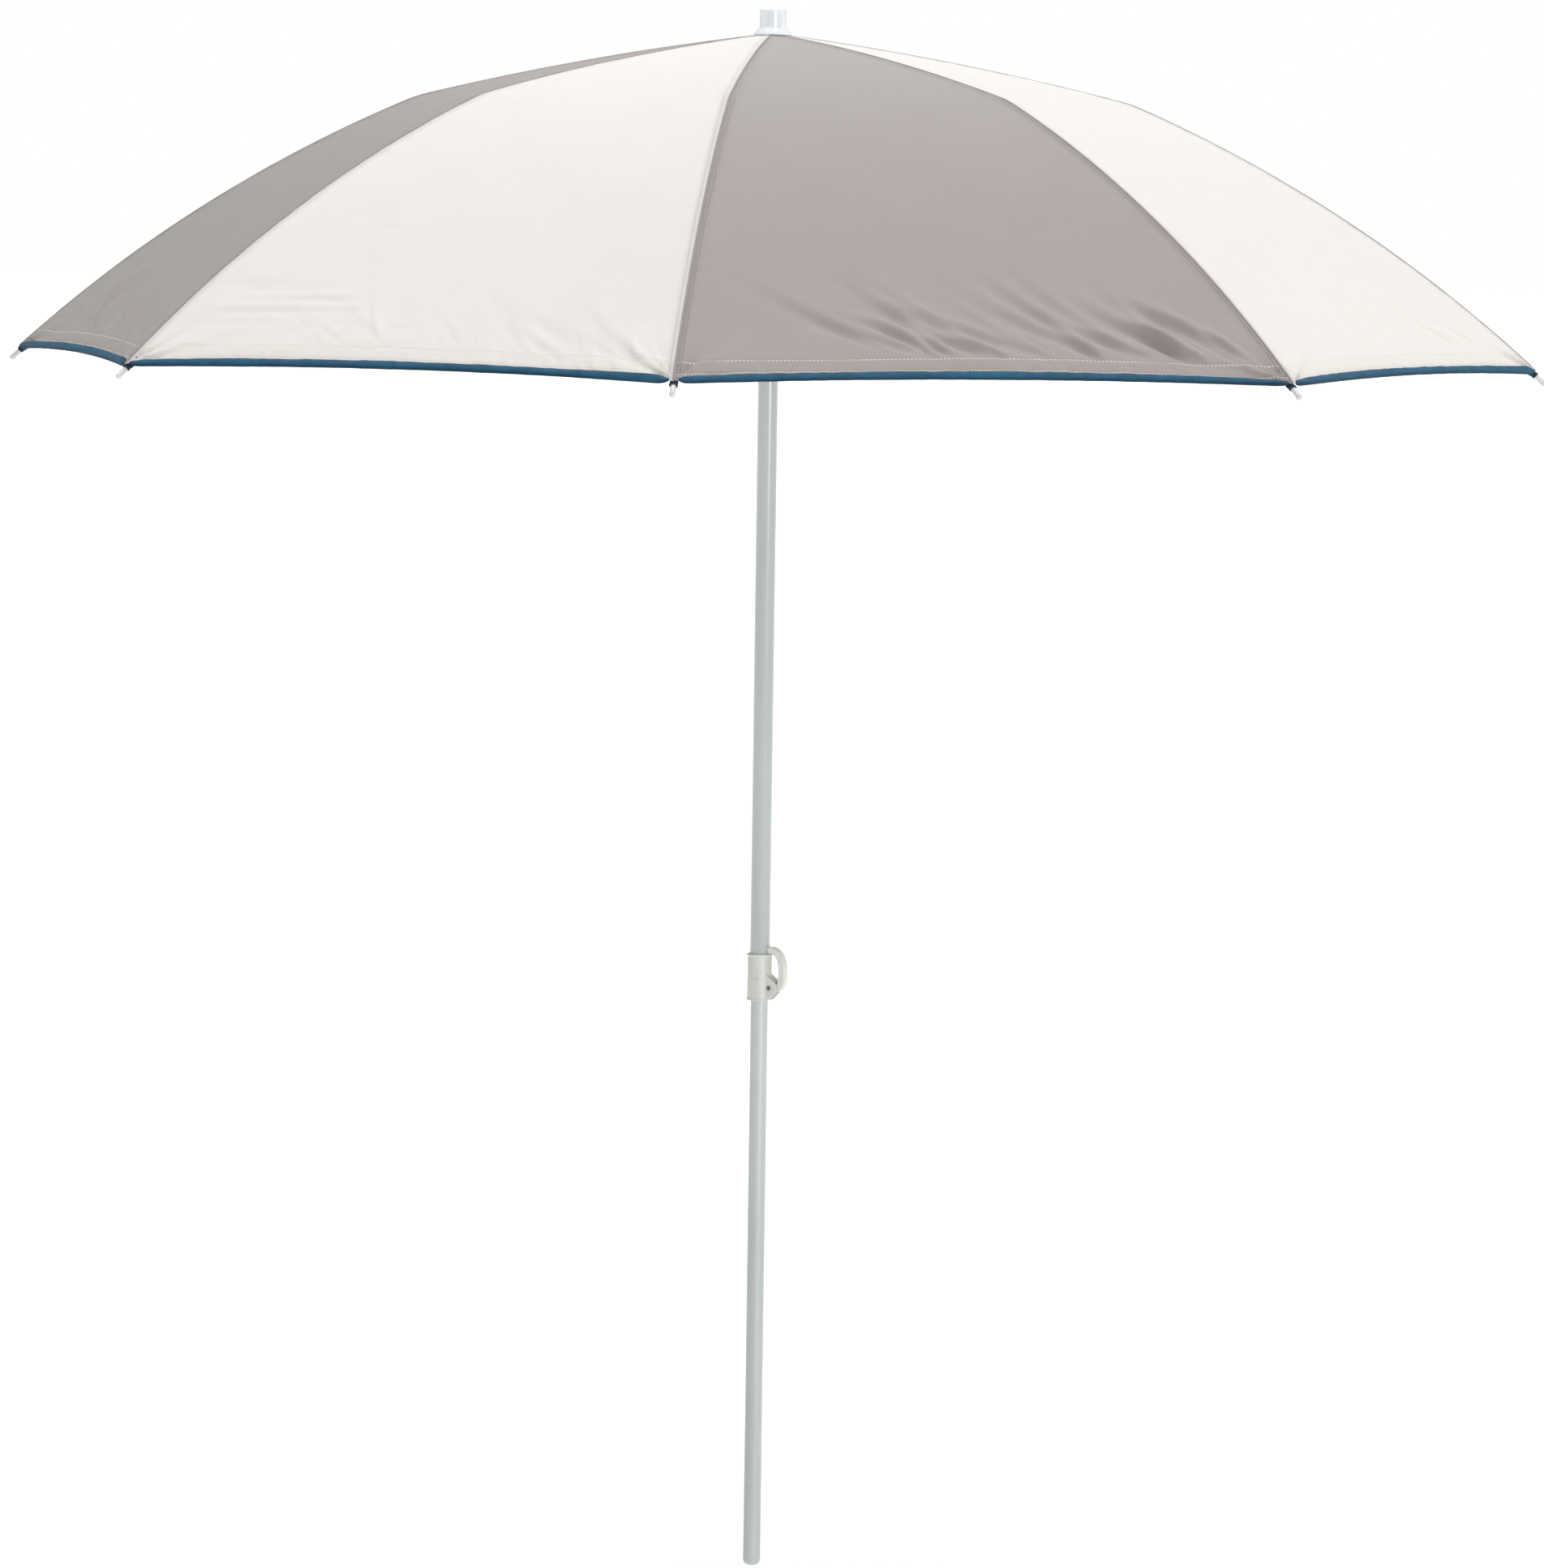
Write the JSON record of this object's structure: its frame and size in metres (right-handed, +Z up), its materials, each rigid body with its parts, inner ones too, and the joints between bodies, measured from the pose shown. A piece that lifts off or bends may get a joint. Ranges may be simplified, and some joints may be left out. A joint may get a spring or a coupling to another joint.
{
  "type": "beach umbrella",
  "caption": "Folding beach umbrella: striped cloth canopy on hinged wire ribs and stretchers, sliding runner and a telescopic steel pole with a lever clamp.",
  "frame": {"origin": "middle of the bottom of the pole's foot, where the ground or a base holds it", "axes": "+Z up along the pole, +X towards the clamp's lever; the ribs stand at 22.5 degrees plus multiples of 45 degrees from +X"},
  "size_m": [1.5606, 1.5606, 1.718],
  "materials": {
    "painted_tube": "satin light grey paint",
    "frame_wire": "galvanised",
    "white_plastic": "moulded, satin",
    "cap_plastic": "milky, glossy",
    "cream_cloth": "plain weave",
    "taupe_cloth": "plain weave"
  },
  "bodies": {
    "lower_pole": {"lower_tube": "painted_tube", "guide_bush": "white_plastic"},
    "upper_pole": {"upper_tube": "painted_tube", "crown_hub": "white_plastic", "crown_ring": "frame_wire", "top_cap": "cap_plastic", "clamp_body": "white_plastic", "clamp_pin": "frame_wire"},
    "lever": {"clamp_lever": "white_plastic"},
    "catch": {"runner_catch": "frame_wire"},
    "rib_1": {"rib_inner_1": "frame_wire", "knee_rivet_1": "frame_wire", "gore_1": "taupe_cloth"},
    "rib_end_1": {"rib_outer_1": "frame_wire", "rib_tip_1": "white_plastic"},
    "stretcher_1": {"stretcher_1": "frame_wire"},
    "rib_2": {"rib_inner_2": "frame_wire", "knee_rivet_2": "frame_wire", "gore_2": "cream_cloth"},
    "rib_end_2": {"rib_outer_2": "frame_wire", "rib_tip_2": "white_plastic"},
    "stretcher_2": {"stretcher_2": "frame_wire"},
    "rib_3": {"rib_inner_3": "frame_wire", "knee_rivet_3": "frame_wire", "gore_3": "taupe_cloth"},
    "rib_end_3": {"rib_outer_3": "frame_wire", "rib_tip_3": "white_plastic"},
    "stretcher_3": {"stretcher_3": "frame_wire"},
    "rib_4": {"rib_inner_4": "frame_wire", "knee_rivet_4": "frame_wire", "gore_4": "cream_cloth"},
    "rib_end_4": {"rib_outer_4": "frame_wire", "rib_tip_4": "white_plastic"},
    "stretcher_4": {"stretcher_4": "frame_wire"},
    "rib_5": {"rib_inner_5": "frame_wire", "knee_rivet_5": "frame_wire", "gore_5": "taupe_cloth"},
    "rib_end_5": {"rib_outer_5": "frame_wire", "rib_tip_5": "white_plastic"},
    "stretcher_5": {"stretcher_5": "frame_wire"},
    "rib_6": {"rib_inner_6": "frame_wire", "knee_rivet_6": "frame_wire", "gore_6": "cream_cloth"},
    "rib_end_6": {"rib_outer_6": "frame_wire", "rib_tip_6": "white_plastic"},
    "stretcher_6": {"stretcher_6": "frame_wire"},
    "rib_7": {"rib_inner_7": "frame_wire", "knee_rivet_7": "frame_wire", "gore_7": "taupe_cloth"},
    "rib_end_7": {"rib_outer_7": "frame_wire", "rib_tip_7": "white_plastic"},
    "stretcher_7": {"stretcher_7": "frame_wire"},
    "rib_8": {"rib_inner_8": "frame_wire", "knee_rivet_8": "frame_wire", "gore_8": "cream_cloth"},
    "rib_end_8": {"rib_outer_8": "frame_wire", "rib_tip_8": "white_plastic"},
    "stretcher_8": {"stretcher_8": "frame_wire"},
    "runner": {"runner": "white_plastic", "runner_ring": "frame_wire"}
  },
  "joints": [
    {"name": "pole_extend", "type": "slide", "parent": "lower_pole", "child": "upper_pole", "axis": [0, 0, 1], "range_m": [-0.5, 0.15]},
    {"name": "lever_open", "type": "hinge", "parent": "upper_pole", "child": "lever", "pos_m": [0.0146, 0, 0.6477], "axis": [0, 1, 0], "range_deg": [0, 95]},
    {"name": "catch_press", "type": "slide", "parent": "upper_pole", "child": "catch", "axis": [1, 0, 0], "range_m": [0, 0.0032], "stiffness_N_per_m": 300},
    {"name": "rib_fold_1", "type": "hinge", "parent": "upper_pole", "child": "rib_1", "pos_m": [0.01524, 0.00631, 1.6848], "axis": [-0.3827, 0.9239, 0], "range_deg": [0, 75.5], "deforming": ["gore_1", "runner_catch"]},
    {"name": "rib_bend_1", "type": "hinge", "parent": "rib_1", "child": "rib_end_1", "pos_m": [0.36031, 0.14925, 1.6148], "axis": [-0.3827, 0.9239, 0], "range_deg": [-17.5, 0]},
    {"name": "stretcher_fold_1", "type": "hinge", "parent": "rib_1", "child": "stretcher_1", "pos_m": [0.36031, 0.14925, 1.6148], "axis": [-0.3827, 0.9239, 0], "range_deg": [-151.5, 0]},
    {"name": "rib_fold_2", "type": "hinge", "parent": "upper_pole", "child": "rib_2", "pos_m": [0.00631, 0.01524, 1.6848], "axis": [-0.9239, 0.3827, 0], "range_deg": [0, 75.5], "deforming": ["gore_2"]},
    {"name": "rib_bend_2", "type": "hinge", "parent": "rib_2", "child": "rib_end_2", "pos_m": [0.14925, 0.36031, 1.6148], "axis": [-0.9239, 0.3827, 0], "range_deg": [-17.5, 0]},
    {"name": "stretcher_fold_2", "type": "hinge", "parent": "rib_2", "child": "stretcher_2", "pos_m": [0.14925, 0.36031, 1.6148], "axis": [-0.9239, 0.3827, 0], "range_deg": [-151.5, 0]},
    {"name": "rib_fold_3", "type": "hinge", "parent": "upper_pole", "child": "rib_3", "pos_m": [-0.00631, 0.01524, 1.6848], "axis": [-0.9239, -0.3827, 0], "range_deg": [0, 75.5], "deforming": ["gore_3"]},
    {"name": "rib_bend_3", "type": "hinge", "parent": "rib_3", "child": "rib_end_3", "pos_m": [-0.14925, 0.36031, 1.6148], "axis": [-0.9239, -0.3827, 0], "range_deg": [-17.5, 0]},
    {"name": "stretcher_fold_3", "type": "hinge", "parent": "rib_3", "child": "stretcher_3", "pos_m": [-0.14925, 0.36031, 1.6148], "axis": [-0.9239, -0.3827, 0], "range_deg": [-151.5, 0]},
    {"name": "rib_fold_4", "type": "hinge", "parent": "upper_pole", "child": "rib_4", "pos_m": [-0.01524, 0.00631, 1.6848], "axis": [-0.3827, -0.9239, 0], "range_deg": [0, 75.5], "deforming": ["gore_4"]},
    {"name": "rib_bend_4", "type": "hinge", "parent": "rib_4", "child": "rib_end_4", "pos_m": [-0.36031, 0.14925, 1.6148], "axis": [-0.3827, -0.9239, 0], "range_deg": [-17.5, 0]},
    {"name": "stretcher_fold_4", "type": "hinge", "parent": "rib_4", "child": "stretcher_4", "pos_m": [-0.36031, 0.14925, 1.6148], "axis": [-0.3827, -0.9239, 0], "range_deg": [-151.5, 0]},
    {"name": "rib_fold_5", "type": "hinge", "parent": "upper_pole", "child": "rib_5", "pos_m": [-0.01524, -0.00631, 1.6848], "axis": [0.3827, -0.9239, 0], "range_deg": [0, 75.5], "deforming": ["gore_5"]},
    {"name": "rib_bend_5", "type": "hinge", "parent": "rib_5", "child": "rib_end_5", "pos_m": [-0.36031, -0.14925, 1.6148], "axis": [0.3827, -0.9239, 0], "range_deg": [-17.5, 0]},
    {"name": "stretcher_fold_5", "type": "hinge", "parent": "rib_5", "child": "stretcher_5", "pos_m": [-0.36031, -0.14925, 1.6148], "axis": [0.3827, -0.9239, 0], "range_deg": [-151.5, 0]},
    {"name": "rib_fold_6", "type": "hinge", "parent": "upper_pole", "child": "rib_6", "pos_m": [-0.00631, -0.01524, 1.6848], "axis": [0.9239, -0.3827, 0], "range_deg": [0, 75.5], "deforming": ["gore_6"]},
    {"name": "rib_bend_6", "type": "hinge", "parent": "rib_6", "child": "rib_end_6", "pos_m": [-0.14925, -0.36031, 1.6148], "axis": [0.9239, -0.3827, 0], "range_deg": [-17.5, 0]},
    {"name": "stretcher_fold_6", "type": "hinge", "parent": "rib_6", "child": "stretcher_6", "pos_m": [-0.14925, -0.36031, 1.6148], "axis": [0.9239, -0.3827, 0], "range_deg": [-151.5, 0]},
    {"name": "rib_fold_7", "type": "hinge", "parent": "upper_pole", "child": "rib_7", "pos_m": [0.00631, -0.01524, 1.6848], "axis": [0.9239, 0.3827, 0], "range_deg": [0, 75.5], "deforming": ["gore_7"]},
    {"name": "rib_bend_7", "type": "hinge", "parent": "rib_7", "child": "rib_end_7", "pos_m": [0.14925, -0.36031, 1.6148], "axis": [0.9239, 0.3827, 0], "range_deg": [-17.5, 0]},
    {"name": "stretcher_fold_7", "type": "hinge", "parent": "rib_7", "child": "stretcher_7", "pos_m": [0.14925, -0.36031, 1.6148], "axis": [0.9239, 0.3827, 0], "range_deg": [-151.5, 0]},
    {"name": "rib_fold_8", "type": "hinge", "parent": "upper_pole", "child": "rib_8", "pos_m": [0.01524, -0.00631, 1.6848], "axis": [0.3827, 0.9239, 0], "range_deg": [0, 75.5], "deforming": ["gore_8"]},
    {"name": "rib_bend_8", "type": "hinge", "parent": "rib_8", "child": "rib_end_8", "pos_m": [0.36031, -0.14925, 1.6148], "axis": [0.3827, 0.9239, 0], "range_deg": [-17.5, 0]},
    {"name": "stretcher_fold_8", "type": "hinge", "parent": "rib_8", "child": "stretcher_8", "pos_m": [0.36031, -0.14925, 1.6148], "axis": [0.3827, 0.9239, 0], "range_deg": [-151.5, 0]},
    {"name": "runner_carry", "type": "hinge", "parent": "stretcher_1", "child": "runner", "pos_m": [0.01524, 0.00631, 1.5448], "axis": [-0.3827, 0.9239, 0], "range_deg": [0, 76]}
  ],
  "couplings": [
    {"joint": "rib_bend_1", "follows": "rib_fold_1", "ratio": -0.23},
    {"joint": "stretcher_fold_1", "follows": "rib_fold_1", "ratio": -2},
    {"joint": "rib_fold_2", "follows": "rib_fold_1", "ratio": 1},
    {"joint": "rib_bend_2", "follows": "rib_fold_1", "ratio": -0.23},
    {"joint": "stretcher_fold_2", "follows": "rib_fold_1", "ratio": -2},
    {"joint": "rib_fold_3", "follows": "rib_fold_1", "ratio": 1},
    {"joint": "rib_bend_3", "follows": "rib_fold_1", "ratio": -0.23},
    {"joint": "stretcher_fold_3", "follows": "rib_fold_1", "ratio": -2},
    {"joint": "rib_fold_4", "follows": "rib_fold_1", "ratio": 1},
    {"joint": "rib_bend_4", "follows": "rib_fold_1", "ratio": -0.23},
    {"joint": "stretcher_fold_4", "follows": "rib_fold_1", "ratio": -2},
    {"joint": "rib_fold_5", "follows": "rib_fold_1", "ratio": 1},
    {"joint": "rib_bend_5", "follows": "rib_fold_1", "ratio": -0.23},
    {"joint": "stretcher_fold_5", "follows": "rib_fold_1", "ratio": -2},
    {"joint": "rib_fold_6", "follows": "rib_fold_1", "ratio": 1},
    {"joint": "rib_bend_6", "follows": "rib_fold_1", "ratio": -0.23},
    {"joint": "stretcher_fold_6", "follows": "rib_fold_1", "ratio": -2},
    {"joint": "rib_fold_7", "follows": "rib_fold_1", "ratio": 1},
    {"joint": "rib_bend_7", "follows": "rib_fold_1", "ratio": -0.23},
    {"joint": "stretcher_fold_7", "follows": "rib_fold_1", "ratio": -2},
    {"joint": "rib_fold_8", "follows": "rib_fold_1", "ratio": 1},
    {"joint": "rib_bend_8", "follows": "rib_fold_1", "ratio": -0.23},
    {"joint": "stretcher_fold_8", "follows": "rib_fold_1", "ratio": -2},
    {"joint": "runner_carry", "follows": "rib_fold_1", "ratio": 1}
  ]
}
